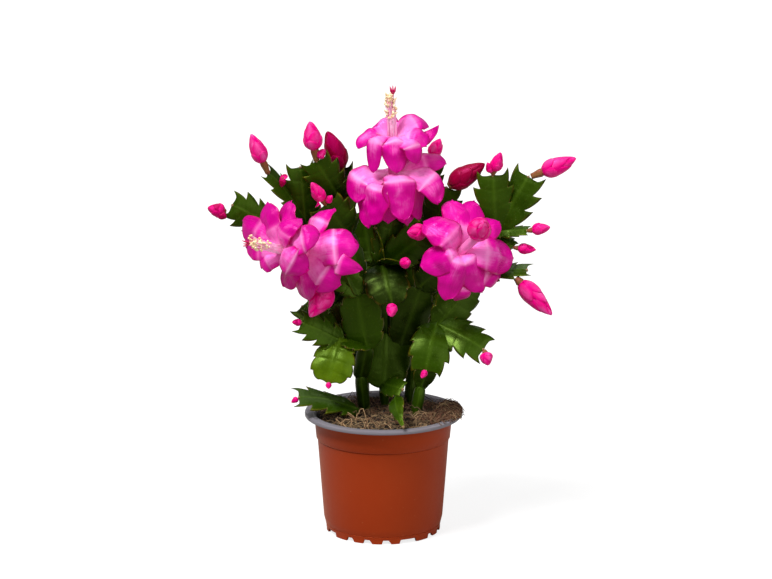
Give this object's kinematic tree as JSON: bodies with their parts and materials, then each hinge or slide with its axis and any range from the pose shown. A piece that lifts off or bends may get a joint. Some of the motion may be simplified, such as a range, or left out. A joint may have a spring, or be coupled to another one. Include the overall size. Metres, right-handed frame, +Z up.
{
  "type": "potted christmas cactus",
  "caption": "Flowering holiday cactus with flat toothed segments, tiered magenta blooms and pointed buds, standing in a thin round nursery pot with a flanged rim.",
  "frame": {"origin": "middle of the part's bounding box, on the ground plane; the pot's own axis stands 5.5 mm left of it and 18 mm in front of it", "axes": "+Z up along the pot's axis, +X to the right of the side that shows the blooms best, -Y towards that front side"},
  "size_m": [0.243, 0.1484, 0.3002],
  "materials": {
    "terracotta_plastic": "satin moulded plastic",
    "peat": "rough fibrous potting soil",
    "leaf_green": "smooth waxy living stem",
    "petal_magenta": "soft thin petals",
    "bud_magenta": "smooth waxy buds",
    "stamen_cream": "fine filaments and powdery anthers",
    "style_magenta": "smooth fleshy style"
  },
  "bodies": {
    "root": {"back_left_plant": "leaf_green", "back_right_plant": "leaf_green", "bud_back_1": "bud_magenta", "bud_back_2": "bud_magenta", "bud_back_3": "bud_magenta", "bud_back_4": "bud_magenta", "bud_back_5": "bud_magenta", "bud_back_6": "bud_magenta", "bud_back_right": "bud_magenta", "bud_back_top": "bud_magenta", "bud_centre_hanging": "bud_magenta", "bud_crown_high": "bud_magenta", "bud_crown_mid": "bud_magenta", "bud_crown_right": "bud_magenta", "bud_crown_side": "bud_magenta", "bud_far_left": "bud_magenta", "bud_far_right": "bud_magenta", "bud_hanging_left": "bud_magenta", "bud_heart": "bud_magenta", "bud_hot_pink": "bud_magenta", "bud_left_high": "bud_magenta", "bud_low_hanging": "bud_magenta", "bud_low_leaf": "bud_magenta", "bud_low_right": "bud_magenta", "bud_outer_front": "bud_magenta", "bud_right_leaf": "bud_magenta", "bud_shelf": "bud_magenta", "bud_side_edge": "bud_magenta", "bud_side_high": "bud_magenta", "bud_side_low": "bud_magenta", "centre_plant": "leaf_green", "front_plant": "leaf_green", "left_bloom_petals": "petal_magenta", "left_bloom_stamens": "stamen_cream", "left_bloom_style": "style_magenta", "left_plant": "leaf_green", "low_plant": "leaf_green", "pot": "terracotta_plastic", "right_bloom_petals": "petal_magenta", "right_plant": "leaf_green", "soil": "peat", "top_bloom_petals": "petal_magenta", "top_bloom_stamens": "stamen_cream", "top_bloom_style": "style_magenta"}
  },
  "joints": []
}
